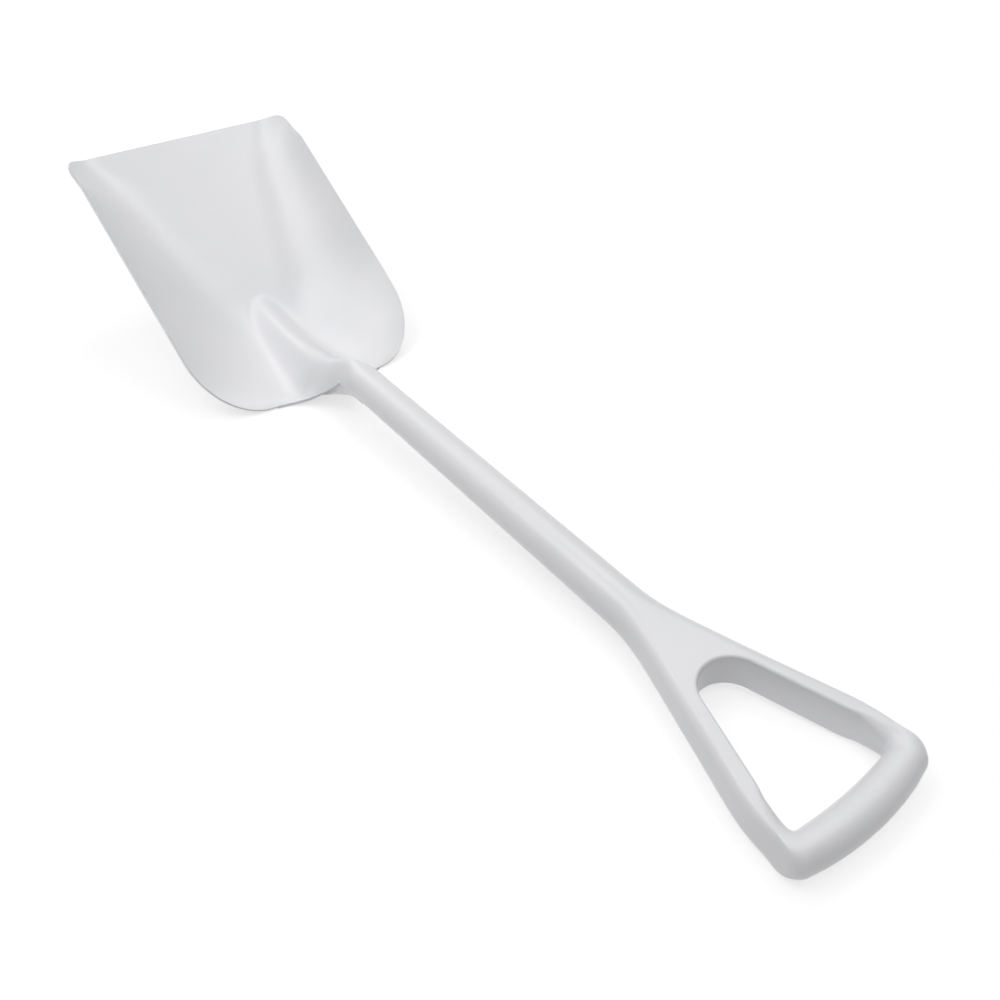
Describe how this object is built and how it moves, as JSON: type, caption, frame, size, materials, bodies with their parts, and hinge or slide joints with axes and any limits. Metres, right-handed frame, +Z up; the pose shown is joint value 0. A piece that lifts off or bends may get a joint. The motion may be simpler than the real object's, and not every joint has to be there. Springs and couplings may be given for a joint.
{
  "type": "ice shovel",
  "caption": "White plastic ice shovel with a deep, ridged scoop, a round shaft and a three-sided hand grip.",
  "frame": {"origin": "on the floor under the middle of the shovel's bounding box, as it rests on the scoop's heel and the grip", "axes": "+X towards the scoop's front edge, +Y to the left seen from the grip, +Z up, out of the scoop's open side"},
  "size_m": [1.035, 0.274, 0.2062],
  "materials": {
    "white_moulding": "satin",
    "dowel_plastic": "satin"
  },
  "bodies": {
    "root": {"scoop_blade": "white_moulding", "neck_gusset": "white_moulding", "shaft_tube": "white_moulding", "grip_yoke": "white_moulding", "hand_grip": "white_moulding", "neck_dowel": "dowel_plastic", "yoke_dowel": "dowel_plastic", "grip_dowel": "dowel_plastic"}
  },
  "joints": []
}
